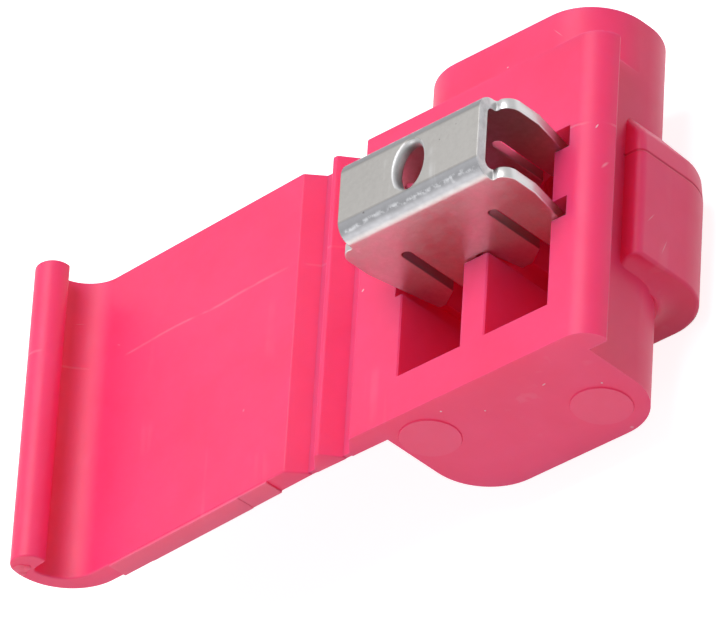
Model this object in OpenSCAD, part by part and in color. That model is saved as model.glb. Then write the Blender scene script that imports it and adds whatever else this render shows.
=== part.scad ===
// Two-wire insulation displacement connector, lid open and contact standing raised.
// Design axes: X runs from the lid to the latch, Y along the wires to their entry end, Z up.
// Design zero: left edge of the top plate, closed end face, top of the plate.

/* [Wire channels] */
// Distance between the two wire channels
channel_pitch = 4.85; // [4.7:0.05:4.95]
// Width of a wire channel and diameter of its bore
channel_w = 3.5; // [3.1:0.05:3.6]
// Depth of the channel axis below the top of the plate
channel_z = 3.9; // [3.7:0.05:4.1]
// Thickness of the closed end wall
end_wall = 2.15; // [1.5:0.05:2.4]
// Width of the countersink round each wire entry
entry_flare = 0.35; // [0.1:0.05:0.5]
// Depth of the countersink round each wire entry
entry_depth = 0.6; // [0.3:0.1:1.2]

/* [Housing] */
// Distance from the left edge of the plate to the middle of the housing
body_mid = 6.74; // [6.6:0.02:6.9]
// Thickness of the side walls beside the channels
side_wall = 1.3; // [1.25:0.01:1.5]
// Depth of the housing floor below the top of the plate
body_depth = 6.85; // [6.65:0.02:7.2]
// Corner radius of the housing
body_r = 2.7; // [2.2:0.1:2.8]
// Length of the housing along the wires
body_len = 18.2; // [17.5:0.1:20]
// Distance from the closed end to the middle of the contact
contact_y = 8.42; // [8.2:0.02:8.8]

/* [Belly] */
// Length of the thicker band under the contact
belly_len = 6.4; // [6.0:0.1:6.8]
// Distance that the band stands out from the side walls
belly_side = 0.94; // [0.7:0.02:1.0]
// Distance that the band stands out below the floor
belly_drop = 1.7; // [1.3:0.01:2.1]
// Length of the ramp at the far end of the band
belly_ramp = 1.1; // [0.6:0.1:1.6]
// Radius of the cove at the near end of the band
belly_cove = 0.6; // [0.4:0.1:1.2]
// Depth of the band's shelf below the top of the plate
shelf_depth = 2.95; // [2.85:0.05:3.2]
// Rounding of the shelf's outer edges
shelf_r = 0.4; // [0.1:0.05:0.6]

/* [Top plate] */
// Length of the top plate along the wires
plate_len = 15.45; // [15:0.05:16]
// Thickness of the top plate and the lid
plate_t = 1.02; // [0.96:0.01:1.1]
// Distance from the middle of the housing to the nose of the latch ledge
ledge_reach = 6.61; // [6.5:0.01:6.7]
// Thickness of the latch ledge
ledge_t = 1.3; // [1.2:0.02:1.36]
// Depth of the rib's saddle under the bridge
saddle = 0.35; // [0.3:0.01:0.5]

/* [Living hinges] */
// Depth of each hinge groove
groove_depth = 0.8; // [0.74:0.01:0.84]
// Distance between the two hinge lines
hinge_pitch = 1.98; // [1.94:0.01:2.06]
// Distance from the plate's edge to the first hinge line
hinge_x = 0.88; // [0.86:0.01:0.96]
// Half width of each groove floor
groove_floor = 0.18; // [0.1:0.01:0.24]
// Width of the flat on the rib between the grooves
rib_top = 0.22; // [0.14:0.01:0.24]

/* [Lid] */
// Angle at which the open lid hangs below level
lid_sag = 2.9; // [0:0.1:5]
// Distance from the second hinge line to the top of its groove on the lid
lid_flank = 0.88; // [0.86:0.01:0.96]
// Play between the closed hook and the ledge
hook_play = 0.1; // [0.06:0.01:0.15]
// Thickness of the hook's wall
hook_wall = 0.75; // [0.7:0.01:0.85]
// Inner radius of the hook's corner
hook_r = 1.8; // [1.7:0.02:1.84]
// Distance that the bead stands in from the hook
bead_in = 0.94; // [0.8:0.02:0.96]
// Height of the bead's tip above the lid
bead_top = 2.96; // [2.9:0.01:3.05]
// Radius of the bead
bead_r = 0.83; // [0.78:0.01:0.86]
// Distance that the gate tab stands out from the lid's near edge
tab_out = 0.12; // [0.05:0.01:0.2]
// Length of the gate tab along the lid's near edge
tab_len = 9.6; // [8:0.1:10]
// Distance from the second hinge line to the gate tab
tab_start = 1.95; // [1.5:0.05:2.4]

/* [Contact] */
// Distance of the contact's middle from the middle of the housing
contact_shift = 0.24; // [0.1:0.01:0.3]
// Thickness of the contact sheet
sheet_t = 0.54; // [0.45:0.01:0.56]
// Size of the contact along the wires
contact_len = 4.05; // [3.9:0.01:4.15]
// Outer radius of the bends
bend_r = 0.82; // [0.7:0.01:0.9]
// Width of the bridge across the wires
bridge_w = 7.9; // [7.7:0.05:8.0]
// Width of each leg at its shoulders
leg_w = 9.4; // [9.3:0.02:9.6]
// Height of the raised bridge above the plate
raised = 4.6; // [4.2:0.05:4.8]
// Height from the tips of the legs to the top of the bridge
contact_h = 6.46; // [6.2:0.02:6.6]
// Width of the wire slots
slot_w = 0.48; // [0.36:0.01:0.55]
// Depth of the slot's closed end below the bridge top
slot_top = 2.55; // [2.3:0.05:2.8]
// Play of the legs in the plate's slots
leg_play = 0.09; // [0.05:0.01:0.12]
// Width of the oval hole in the bridge
hole_w = 1.7; // [1.4:0.05:1.8]
// Length of the oval hole in the bridge
hole_len = 2.4; // [2.0:0.05:2.4]

/* [Hidden] */
$fn = 64;
eps = 0.01;

// Housing
bore_r = channel_w / 2;
body_half = channel_pitch / 2 + bore_r + side_wall;
body_x0 = body_mid - body_half;
body_x1 = body_mid + body_half;
sleeve_top = plate_t - 0.08;

// Belly
belly_y0 = contact_y - 2.92;
belly_y1 = belly_y0 + belly_len;
belly_z = body_depth + belly_drop;
cove_steps = 2;
slice = 0.05;
bite = 0.1;
cove_drop = 0.9;

// Hinge lines
web_t = plate_t - groove_depth;
line_a = -hinge_x;
line_b = -hinge_x - hinge_pitch;
closed_gap = hinge_pitch - 2 * groove_depth;

// Latch
nose_x = body_mid + ledge_reach;
ledge_bevel = 0.15;
hook_in = nose_x + hook_play + hinge_x;
hook_out = hook_in + hook_wall;
catch_play = 0.1;
catch_h = closed_gap + ledge_t + catch_play;
catch_rise = 0.12;
lid_top = groove_depth;

// Contact
contact_x = body_mid + contact_shift;
pressed = closed_gap - 0.08;
travel = raised - pressed;
leg_slot_w = leg_w + 2 * leg_play;
leg_slot_depth = contact_h - pressed + 0.1;
leg_slot_y = contact_len / 2 + leg_play;
near_slot_t = leg_play + sheet_t + 0.36;
far_slot_t = leg_play + sheet_t + 0.46;
far_play = 0.37;
pocket_end = contact_y + leg_slot_y + far_play;
leg_y = contact_len / 2 - sheet_t;
shoulder_drop = 0.95;
shoulder_r = 0.7;
taper_from = 2.8;
taper = 0.75;
tongue_gap = 0.7;
tongue_gap_h = 1.86;
mouth_w = 1.15;
mouth_h = 0.56;

// Ejector pin marks on the closed end
mark_r = 1.35;
mark_rise = 0.06;
mark_x = [-3.96, 3.22];
mark_z = [2.0, 4.66];

// The origin is the middle of the belly's underside
origin = [body_mid, (belly_y0 + belly_y1) / 2, -belly_z];

module place() {
  translate(-origin) children();
}

// Extrudes an XZ outline along Y
module along_y(y0, length) {
  translate([0, y0 + length, 0]) rotate([90, 0, 0]) linear_extrude(length) children();
}

// Rectangle from corner to corner whose corners are rounded
module round_box(x0, z0, x1, z1, r) {
  translate([x0 + r, z0]) square([x1 - x0 - 2 * r, z1 - z0]);
  translate([x0, z0 + r]) square([x1 - x0, z1 - z0 - 2 * r]);
  for (x = [x0 + r, x1 - r], z = [z0 + r, z1 - r]) translate([x, z]) circle(r);
}

// Outline of the round-cornered sleeve that takes the wires
module sleeve_outline() {
  round_box(body_x0, -body_depth, body_x1, -sleeve_top, body_r);
}

// Convex outline of the belly, level with its shelf
module belly_outline(side, drop) {
  mid_l = body_x0 - side + body_r;
  mid_r = body_x1 + side - body_r;
  mid_z = -body_depth - drop + body_r;
  steps = 8;
  shelf_steps = 4;
  polygon(concat(
    [for (i = [0 : shelf_steps]) let (a = 90 + 90 * i / shelf_steps)
      [mid_l - body_r + shelf_r * (1 + cos(a)), -shelf_depth - shelf_r * (1 - sin(a))]],
    [for (i = [0 : steps]) let (a = 180 + 90 * i / steps)
      [mid_l + body_r * cos(a), mid_z + body_r * sin(a)]],
    [for (i = [0 : steps]) let (a = 270 + 90 * i / steps)
      [mid_r + body_r * cos(a), mid_z + body_r * sin(a)]],
    [for (i = [0 : shelf_steps]) let (a = 90 * i / shelf_steps)
      [mid_r + body_r - shelf_r * (1 - cos(a)), -shelf_depth - shelf_r * (1 - sin(a))]]
  ));
}

module belly() {
  along_y(belly_y0, belly_len) belly_outline(belly_side, belly_drop);
  // Cove at the near end, in flat steps round a quarter circle
  for (i = [0 : cove_steps - 1]) {
    a0 = 90 * i / cove_steps;
    a1 = 90 * (i + 1) / cove_steps;
    hull() {
      along_y(belly_y0 - belly_cove * (1 - sin(a0)), slice)
        belly_outline((belly_side + bite) * (1 - cos(a0)) - bite, cove_drop * (1 - cos(a0)) - bite);
      along_y(belly_y0 - belly_cove * (1 - sin(a1)), slice)
        belly_outline((belly_side + bite) * (1 - cos(a1)) - bite, cove_drop * (1 - cos(a1)) - bite);
    }
  }
  // Ramp that runs out at the far end
  hull() {
    along_y(belly_y1 - slice, slice) belly_outline(belly_side, belly_drop);
    along_y(belly_y1 + belly_ramp, slice) belly_outline(-bite, -bite);
  }
}

// Top plate with the first groove's flank and the rounded latch ledge
module plate_outline() {
  polygon([
    [line_a, -plate_t], [line_a, -groove_depth], [line_a + groove_floor, -groove_depth], [0, 0],
    [nose_x - ledge_t, 0], [nose_x - ledge_t, -plate_t]
  ]);
  translate([nose_x - ledge_t, -ledge_t]) difference() {
    circle(ledge_t);
    translate([-2 * ledge_t, -2 * ledge_t]) square([4 * ledge_t, 2 * ledge_t]);
    translate([-2 * ledge_t, -ledge_t]) square([2 * ledge_t, 4 * ledge_t]);
    translate([ledge_t, 0]) rotate(45) square(ledge_bevel * sqrt(2), center = true);
  }
  translate([body_x1 - side_wall / 2, -ledge_t])
    square([nose_x - ledge_t - body_x1 + side_wall / 2 + eps, ledge_t / 2]);
}

// One wire channel: a blind bore from the entry end, open to the pocket above
module channel_cut(x) {
  bore_len = body_len - end_wall;
  entry_r = bore_r + entry_flare;
  translate([x, body_len + eps, -channel_z]) rotate([90, 0, 0]) {
    cylinder(r = bore_r, h = bore_len + eps);
    cylinder(r1 = entry_r, r2 = bore_r, h = entry_depth);
  }
  translate([x - bore_r, end_wall, -channel_z])
    cube([channel_w, pocket_end - end_wall, channel_z + eps]);
}

// Slots for the two legs, joined by a saddle in the rib that takes the bridge
module leg_slots() {
  near_y = contact_y - leg_slot_y;
  translate([contact_x - leg_slot_w / 2, near_y, -leg_slot_depth])
    cube([leg_slot_w, near_slot_t, leg_slot_depth + eps]);
  translate([contact_x - leg_slot_w / 2, pocket_end - far_slot_t, -leg_slot_depth])
    cube([leg_slot_w, far_slot_t, leg_slot_depth + eps]);
  translate([body_mid - channel_pitch / 2, near_y, -saddle])
    cube([channel_pitch, pocket_end - near_y, saddle + eps]);
}

module body() {
  color("#e8405f") place() difference() {
    union() {
      along_y(0, plate_len) {
        plate_outline();
        translate([body_x0, -body_depth + body_r])
          square([2 * body_half, body_depth - body_r - plate_t / 2]);
      }
      along_y(0, body_len) sleeve_outline();
      belly();
      for (i = [0, 1]) translate([body_mid + mark_x[i], -mark_rise, -mark_z[i]])
        rotate([-90, 0, 0]) cylinder(r = mark_r, h = mark_rise + eps);
    }
    for (side = [-1, 1]) channel_cut(body_mid + side * channel_pitch / 2);
    leg_slots();
  }
}

// Rib between the two hinge grooves
module hinge_rib() {
  mid = (line_a + line_b) / 2;
  color("#e8405f") place() along_y(0, plate_len) polygon([
    [line_b, -plate_t], [line_a, -plate_t], [line_a, -groove_depth],
    [line_a - groove_floor, -groove_depth], [mid + rib_top / 2, 0], [mid - rib_top / 2, 0],
    [line_b + groove_floor, -groove_depth], [line_b, -groove_depth]
  ]);
}

// Lid outline, drawn level from the second hinge line, with height zero on the groove floor
module lid_outline() {
  corner_x = -hook_in + hook_r;
  corner_h = lid_top + hook_r;
  outer_r = hook_r + plate_t;
  outer_x = outer_r - hook_out;
  polygon([
    [-web_t * tan(lid_sag), -web_t], [0, 0], [-groove_floor, 0], [-lid_flank, lid_top],
    [corner_x, lid_top], [outer_x, -web_t]
  ]);
  // Rolled corner of the hook, which thins from the lid's thickness to that of the hook's wall
  difference() {
    translate([outer_x, corner_h]) circle(outer_r);
    translate([corner_x, corner_h]) circle(hook_r);
    translate([corner_x, lid_top]) square([3 * outer_r, 3 * outer_r]);
    translate([outer_x, -outer_r]) square([3 * outer_r, 3 * outer_r]);
    translate([outer_x - 2 * outer_r, corner_h]) square([4 * outer_r, 2 * outer_r]);
  }
  translate([-hook_out, corner_h - eps])
    square([hook_wall, lid_top + bead_top - bead_r - corner_h + eps]);
  // Bead with its catch slope
  difference() {
    translate([-hook_in - bead_r + bead_in, lid_top + bead_top - bead_r]) circle(bead_r);
    translate([-hook_in, lid_top]) polygon([
      [0, 0], [0, catch_h], [2 * bead_in, catch_h + 2 * catch_rise], [2 * bead_in, 0]
    ]);
  }
}

module lid() {
  color("#e8405f") place() translate([line_b, 0, -groove_depth]) rotate([0, -lid_sag, 0]) {
    along_y(0, plate_len) lid_outline();
    // Tab along the near edge, where the gates were torn off
    translate([-tab_start - tab_len, -tab_out, lid_top - plate_t]) cube([tab_len, tab_out + eps, plate_t]);
  }
}

// Half of one leg's outline, drawn with height zero at the bridge top
module leg_half() {
  slot_x = channel_pitch / 2;
  edge_x = leg_w / 2 - shoulder_r;
  edge_h = -shoulder_drop - shoulder_r;
  difference() {
    union() {
      polygon([
        [0, -bend_r], [bridge_w / 2, -bend_r], [bridge_w / 2, -shoulder_drop],
        [edge_x, -shoulder_drop], [edge_x, edge_h], [leg_w / 2, edge_h], [leg_w / 2, -taper_from],
        [leg_w / 2 - taper, -contact_h], [0, -contact_h]
      ]);
      translate([edge_x, edge_h]) circle(shoulder_r);
    }
    // Wire slot with its rounded end and its lead-in
    translate([slot_x, -contact_h]) {
      translate([-slot_w / 2, -eps]) square([slot_w, contact_h - slot_top - slot_w / 2 + eps]);
      translate([0, contact_h - slot_top - slot_w / 2]) circle(slot_w / 2);
      polygon([[-mouth_w, -eps], [mouth_w, -eps], [slot_w / 2, mouth_h], [-slot_w / 2, mouth_h]]);
    }
    // Gap between the inner tongues
    translate([0, -contact_h]) polygon([
      [-eps, -eps], [tongue_gap, -eps], [tongue_gap / 3, tongue_gap_h], [-eps, tongue_gap_h]
    ]);
  }
}

module contact_leg() {
  rotate([90, 0, 0]) linear_extrude(sheet_t) {
    leg_half();
    mirror([1, 0]) leg_half();
  }
}

// Section of the bridge and its two bends, along the wires
module bridge_section() {
  half = contact_len / 2;
  translate([-half + bend_r, -sheet_t]) square([contact_len - 2 * bend_r, sheet_t]);
  for (s = [-1, 1]) translate([s * (half - bend_r), -bend_r]) difference() {
    circle(bend_r);
    circle(bend_r - sheet_t);
    translate([-bend_r, -2 * bend_r]) square([2 * bend_r, 2 * bend_r]);
    translate([s > 0 ? -2 * bend_r : 0, -bend_r]) square([2 * bend_r, 3 * bend_r]);
  }
}

module contact() {
  color("#b9b6b0") place() translate([contact_x, contact_y, raised]) difference() {
    union() {
      translate([-bridge_w / 2, 0, 0]) rotate([90, 0, 90]) linear_extrude(bridge_w) bridge_section();
      translate([0, -leg_y, 0]) contact_leg();
      translate([0, leg_y + sheet_t, 0]) contact_leg();
    }
    hull() for (s = [-1, 1]) translate([0, s * (hole_len - hole_w) / 2, -sheet_t - eps])
      cylinder(d = hole_w, h = sheet_t + 2 * eps, $fn = 32);
  }
}

body();
hinge_rib();
lid();
contact();
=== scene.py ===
import math

import bmesh
import bpy
from mathutils import Matrix, Vector


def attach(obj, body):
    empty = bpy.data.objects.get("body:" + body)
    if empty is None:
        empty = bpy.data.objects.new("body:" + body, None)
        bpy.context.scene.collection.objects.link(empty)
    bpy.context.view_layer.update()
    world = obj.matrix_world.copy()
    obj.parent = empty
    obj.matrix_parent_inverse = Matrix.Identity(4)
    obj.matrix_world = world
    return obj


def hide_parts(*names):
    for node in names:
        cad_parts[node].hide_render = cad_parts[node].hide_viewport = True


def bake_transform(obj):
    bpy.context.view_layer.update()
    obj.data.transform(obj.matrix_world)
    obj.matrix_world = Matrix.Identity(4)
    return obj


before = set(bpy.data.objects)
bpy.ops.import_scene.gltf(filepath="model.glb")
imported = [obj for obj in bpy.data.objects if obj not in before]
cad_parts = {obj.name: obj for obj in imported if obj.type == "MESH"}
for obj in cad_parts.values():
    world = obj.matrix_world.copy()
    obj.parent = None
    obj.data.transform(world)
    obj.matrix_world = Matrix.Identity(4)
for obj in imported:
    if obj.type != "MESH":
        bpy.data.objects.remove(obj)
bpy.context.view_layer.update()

bl_info = {
    "name": "Splice Connector Builder",
    "version": (1, 0, 0),
    "blender": (4, 5, 0),
    "location": "3D View > Sidebar > Connector",
    "description": "Builds a two-wire splice connector with a living-hinge lid and a raised metal contact",
    "category": "Add Mesh",
}

# Pieces are modelled in millimetres from the corner of the top plate and shrunk to metres last. Seen from
# that corner, the row's origin lies here
MM = 0.001
ROW_ORIGIN = Vector((6.74, 8.7, -8.55))

# Where the camera stands, in metres, and its right, up and back directions
CAMERA_PLACE = (0.23659, -0.24445, 0.25490)
CAMERA_RIGHT = (0.7358, 0.0519, -0.6752)
CAMERA_UP = (0.3570, 0.8176, 0.4518)
CAMERA_LENS = 502.6

# Each lamp looks at the origin: name, place and disk size in metres, power in watts
LAMPS = (("key_lamp", (0.04, 0.09, 0.40), 0.34, 1.57), ("front_lamp", (-0.26, -0.34, 0.12), 0.26, 0.68))
# The world's light on the object, and what the floor adds to its own colour where it is seen
WORLD_LIGHT = 0.22
FLOOR_GLOW = 0.86
# The floor's side, and how far it lies under the part, in metres
FLOOR_SIZE, FLOOR_DROP = 2.4, 0.00002


# Sizes and colours

def length(name, description, default):
    """A length in metres, shown in the panel."""
    return bpy.props.FloatProperty(name=name, description=description, default=default,
                                   min=0.0, unit="LENGTH", precision=5)


def colour(name, description, default):
    """A colour without alpha, shown in the panel."""
    return bpy.props.FloatVectorProperty(name=name, description=description, default=default,
                                         size=3, min=0.0, max=1.0, subtype="COLOR")


class HousingSizes(bpy.types.PropertyGroup):
    """Sizes of the housing and its top plate"""
    plate_len: length("Plate length", "Length of the top plate along the wires", 0.01545)
    body_len: length("Housing length", "Length of the housing along the wires", 0.0182)
    corner: length("Corner radius", "Radius of the housing's long corners", 0.0027)
    belly_side: length("Belly side", "Distance that the belly stands out from the side walls", 0.00094)
    belly_drop: length("Belly drop", "Distance that the belly stands out below the floor", 0.0017)
    belly_ramp: length("Belly ramp", "Length of the ramp at the belly's far end", 0.0011)
    belly_cove: length("Belly cove", "Radius of the cove before the belly", 0.0006)
    shelf_radius: length("Shelf radius", "Rounding of the belly's shelf", 0.0004)
    edge: length("Edge rounding", "Rounding of the moulded edges", 0.0001)
    rim: length("Pocket rim", "Chamfer round the pockets", 0.00006)
    disc: length("Pin mark rise", "Height of the two ejector pin marks", 0.00006)
    disc_radius: length("Pin mark radius", "Radius of the two ejector pin marks", 0.00135)


class LidSizes(bpy.types.PropertyGroup):
    """Sizes of the lid and its hook"""
    sag: bpy.props.FloatProperty(name="Sag", description="Angle at which the open lid hangs",
                                 default=math.radians(2.9), unit="ROTATION")
    hook_radius: length("Hook radius", "Inner radius of the hook's corner", 0.0018)
    hook_wall: length("Hook wall", "Thickness of the hook's wall", 0.00075)
    bead_radius: length("Bead radius", "Radius of the bead along the hook", 0.00083)
    tab_out: length("Gate tab", "Distance that the gate tab stands out from the near edge", 0.00012)


class ContactSizes(bpy.types.PropertyGroup):
    """Sizes of the metal contact"""
    sheet: length("Sheet", "Thickness of the contact sheet", 0.00054)
    bend: length("Bend radius", "Outer radius of the contact's bends", 0.00082)
    slot: length("Wire slot", "Width of the wire slots", 0.00048)


class Finishes(bpy.types.PropertyGroup):
    """Colours of the plastic, the metal and the floor"""
    plastic: colour("Plastic", "Colour of the moulded plastic", (0.96, 0.043, 0.172))
    plastic_deep: colour("Deep plastic", "Colour of the darker clouds in the plastic", (0.92, 0.034, 0.148))
    metal: colour("Metal", "Colour of the plated contact", (0.63, 0.61, 0.595))
    # Used both for the real scratches and for the painted highlight streak along the bends
    metal_scuff_and_highlight: colour("Scuffed metal", "Colour of the scuffed bends", (0.80, 0.81, 0.84))
    metal_sheared: colour("Sheared metal", "Colour of the sheared edges", (0.47, 0.47, 0.48))
    # Painted shade: a darker copy of the metal for the bridge between the bends, against the key lamp's
    # reflection there
    shaded_metal_flat: colour("Flat metal", "Colour of the bridge between the bends", (0.355, 0.344, 0.332))
    floor: colour("Floor", "Colour of the floor", (0.60, 0.60, 0.60))


# Modelling helpers

def deselect():
    """Back to object mode with nothing selected."""
    if bpy.context.object and bpy.context.object.mode != "OBJECT":
        bpy.ops.object.mode_set(mode="OBJECT")
    bpy.ops.object.select_all(action="DESELECT")


def take(piece):
    """Makes the piece the only selected one."""
    deselect()
    piece.select_set(True)
    bpy.context.view_layer.objects.active = piece


def arc(cx, cz, radius, start, end, steps):
    """Points along an arc, with its angles in degrees."""
    turn = [math.radians(start + (end - start) * i / steps) for i in range(steps + 1)]
    return [(cx + radius * math.cos(a), cz + radius * math.sin(a)) for a in turn]


def quarter(steps):
    """The pairs of angles that step through a quarter turn."""
    turn = [math.radians(90 * i / steps) for i in range(steps + 1)]
    return list(zip(turn, turn[1:]))


def trace(name, points, place):
    """Draws an outline by extruding one vertex from point to point, then fills it. Leaves edit mode on."""
    deselect()
    bpy.ops.mesh.primitive_plane_add(size=1.0)
    piece = bpy.context.active_object
    piece.name = name
    piece.data.name = name
    spots = [Vector(place(p)) for p in points]
    bpy.ops.object.mode_set(mode="EDIT")
    bpy.context.tool_settings.mesh_select_mode = (True, False, False)
    bpy.ops.mesh.select_all(action="SELECT")
    bpy.ops.mesh.merge(type="CENTER")
    bpy.ops.transform.translate(value=spots[0])
    for here, there in zip(spots, spots[1:]):
        bpy.ops.mesh.extrude_vertices_move(TRANSFORM_OT_translate={"value": there - here})
    bpy.ops.mesh.select_all(action="SELECT")
    bpy.ops.mesh.edge_face_add()
    return piece


def edit(piece):
    """Opens the piece alone in edit mode."""
    take(piece)
    bpy.ops.object.mode_set(mode="EDIT")


def pick(piece, kind, test):
    """Selects the edges or the faces in edit mode that pass a test."""
    bpy.context.tool_settings.mesh_select_mode = (False, kind == "edges", kind == "faces")
    bpy.ops.mesh.select_all(action="DESELECT")
    for part in getattr(bmesh.from_edit_mesh(piece.data), kind):
        if test(part):
            part.select_set(True)
    bmesh.update_edit_mesh(piece.data)


def faces_up(face):
    """Whether a face looks straight up."""
    return face.normal.z > 0.9


def push(x=0.0, y=0.0, z=0.0):
    """Extrudes the selected face."""
    bpy.ops.mesh.extrude_region_move(TRANSFORM_OT_translate={"value": (x, y, z)})


def face_out():
    """Turns every face outwards and leaves edit mode."""
    bpy.ops.mesh.select_all(action="SELECT")
    bpy.ops.mesh.normals_make_consistent(inside=False)
    bpy.ops.object.mode_set(mode="OBJECT")


def prism(name, points, y0, y1):
    """A solid with an XZ outline that runs along Y."""
    piece = trace(name, points, lambda p: (p[0], y0, p[1]))
    push(y=y1 - y0)
    face_out()
    return piece


def block(name, low, high):
    """A box from corner to corner."""
    return prism(name, [(low[0], low[2]), (high[0], low[2]), (high[0], high[2]), (low[0], high[2])],
                 low[1], high[1])


def combine(piece, tool, operation):
    """Joins or cuts the piece with the tool, which is used up."""
    take(piece)
    cut = piece.modifiers.new("combine", "BOOLEAN")
    cut.operation = operation
    cut.solver = "EXACT"
    cut.object = tool
    bpy.ops.object.modifier_apply(modifier=cut.name)
    bpy.data.objects.remove(tool, do_unlink=True)


def clean(piece):
    """Merges doubles and joins the faces that lie in one plane."""
    edit(piece)
    bpy.ops.mesh.select_all(action="SELECT")
    bpy.ops.mesh.remove_doubles(threshold=0.0005)
    bpy.ops.mesh.select_all(action="SELECT")
    bpy.ops.mesh.dissolve_limited(angle_limit=math.radians(0.2))
    bpy.ops.object.mode_set(mode="OBJECT")


def round_edges(piece, radius, steps=3, above=35.0, where=None):
    """Rounds the sharp edges, or those of them that pass a test with their middle."""
    def sharp(edge):
        """Whether to round an edge."""
        if len(edge.link_faces) != 2 or edge.calc_face_angle(0.0) < math.radians(above):
            return False
        return where is None or where((edge.verts[0].co + edge.verts[1].co) / 2, edge)

    edit(piece)
    pick(piece, "edges", sharp)
    bpy.ops.mesh.bevel(offset=radius, segments=steps, profile=0.5, affect="EDGES", clamp_overlap=True)
    bpy.ops.mesh.select_all(action="SELECT")
    bpy.ops.mesh.remove_doubles(threshold=0.0005)
    bpy.ops.object.mode_set(mode="OBJECT")


def finish_piece(piece, body, material, smooth=32.0):
    """Shrinks the piece to metres in its place, shades it and lets it ride on its body."""
    take(piece)
    piece.scale = (MM, MM, MM)
    piece.location = -ROW_ORIGIN * MM
    bpy.ops.object.transform_apply(location=True, rotation=True, scale=True)
    bpy.ops.object.shade_smooth_by_angle(angle=math.radians(smooth))
    even = piece.modifiers.new("even_normals", "WEIGHTED_NORMAL")
    even.keep_sharp = True
    bpy.ops.object.modifier_apply(modifier=even.name)
    piece.data.materials.clear()
    piece.data.materials.append(material)
    if body:
        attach(piece, body)


# Material helpers

def new_group(name, inputs, outputs):
    """An empty shader node group with its sockets."""
    group = bpy.data.node_groups.new(name, "ShaderNodeTree")
    for label, kind, value in inputs:
        socket = group.interface.new_socket(name=label, in_out="INPUT", socket_type=kind)
        if value is not None:
            socket.default_value = value
    for label, kind in outputs:
        group.interface.new_socket(name=label, in_out="OUTPUT", socket_type=kind)
    return group, group.nodes.new("NodeGroupInput"), group.nodes.new("NodeGroupOutput")


def set_values(node, values):
    """Sets a node's inputs by their names."""
    for name, value in values.items():
        node.inputs[name].default_value = value


def add_math(tree, operation, a, b=None, c=None):
    """A Math node whose inputs are numbers or sockets."""
    node = tree.nodes.new("ShaderNodeMath")
    node.operation = operation
    for socket, value in zip(node.inputs, (a, b, c)):
        if value is None:
            continue
        if isinstance(value, (int, float)):
            socket.default_value = value
        else:
            tree.links.new(value, socket)
    return node.outputs[0]


def add_ramp(tree, factor, low, high):
    """Eases a value from 0 to 1 between low and high."""
    node = tree.nodes.new("ShaderNodeMapRange")
    node.interpolation_type = "SMOOTHSTEP"
    set_values(node, {"From Min": low, "From Max": high})
    tree.links.new(factor, node.inputs["Value"])
    return node.outputs["Result"]


def add_fade(tree, factor, low, high):
    """Eases a value from 1 to 0 between low and high."""
    return add_math(tree, "SUBTRACT", 1.0, add_ramp(tree, factor, low, high))


def multiply(tree, a, b):
    """The product of two numbers or sockets."""
    return add_math(tree, "MULTIPLY", a, b)


def add_mix(tree, factor, first, second):
    """Mixes two colours, each a socket or a tuple."""
    node = tree.nodes.new("ShaderNodeMix")
    node.data_type = "RGBA"
    tree.links.new(factor, node.inputs["Factor"])
    for socket, value in ((node.inputs[6], first), (node.inputs[7], second)):
        if isinstance(value, tuple):
            socket.default_value = value
        else:
            tree.links.new(value, socket)
    return node.outputs[2]


def add_mark(tree, base, mask, strength, tint):
    """Tints the base colour where a mask is set."""
    return add_mix(tree, multiply(tree, mask, strength), base, tint)


def add_weighted(tree, total, parts):
    """Adds parts to a total, each times its weight."""
    for part, weight in parts:
        total = add_math(tree, "ADD", total, multiply(tree, part, weight))
    return total


def add_surface(tree, shader, base, rough, height, strength):
    """Gives the shader its colour, its roughness and a height in metres that turns its normal."""
    bump = tree.nodes.new("ShaderNodeBump")
    set_values(bump, {"Strength": strength, "Distance": 1.0})
    tree.links.new(height, bump.inputs["Height"])
    for source, name in ((base, "Base Color"), (rough, "Roughness"), (bump.outputs["Normal"], "Normal")):
        tree.links.new(source, shader.inputs[name])


def add_scuffs(tree, vector, scale):
    """The scratches and the specks of the shared group."""
    scuffs = tree.nodes.new("ShaderNodeGroup")
    scuffs.node_tree = scuff_group()
    scuffs.inputs["Scale"].default_value = scale
    tree.links.new(vector, scuffs.inputs["Vector"])
    return scuffs.outputs["Scratch"], scuffs.outputs["Speck"]


def seen_rays(tree):
    """1 for the rays that show the background: the camera's, and those in metal and glass."""
    path = tree.nodes.new("ShaderNodeLightPath")
    return add_math(tree, "MAXIMUM", path.outputs["Is Camera Ray"],
                    add_math(tree, "MAXIMUM", path.outputs["Is Glossy Ray"],
                             path.outputs["Is Transmission Ray"]))


def add_noise(tree, vector, scale, detail=3.0, rough=0.5, stretch=None):
    """A noise texture on object coordinates, stretched if asked."""
    if stretch:
        mapping = tree.nodes.new("ShaderNodeMapping")
        mapping.inputs["Scale"].default_value = stretch
        tree.links.new(vector, mapping.inputs["Vector"])
        vector = mapping.outputs["Vector"]
    node = tree.nodes.new("ShaderNodeTexNoise")
    set_values(node, {"Scale": scale, "Detail": detail, "Roughness": rough})
    tree.links.new(vector, node.inputs["Vector"])
    return node.outputs["Fac"]


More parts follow.
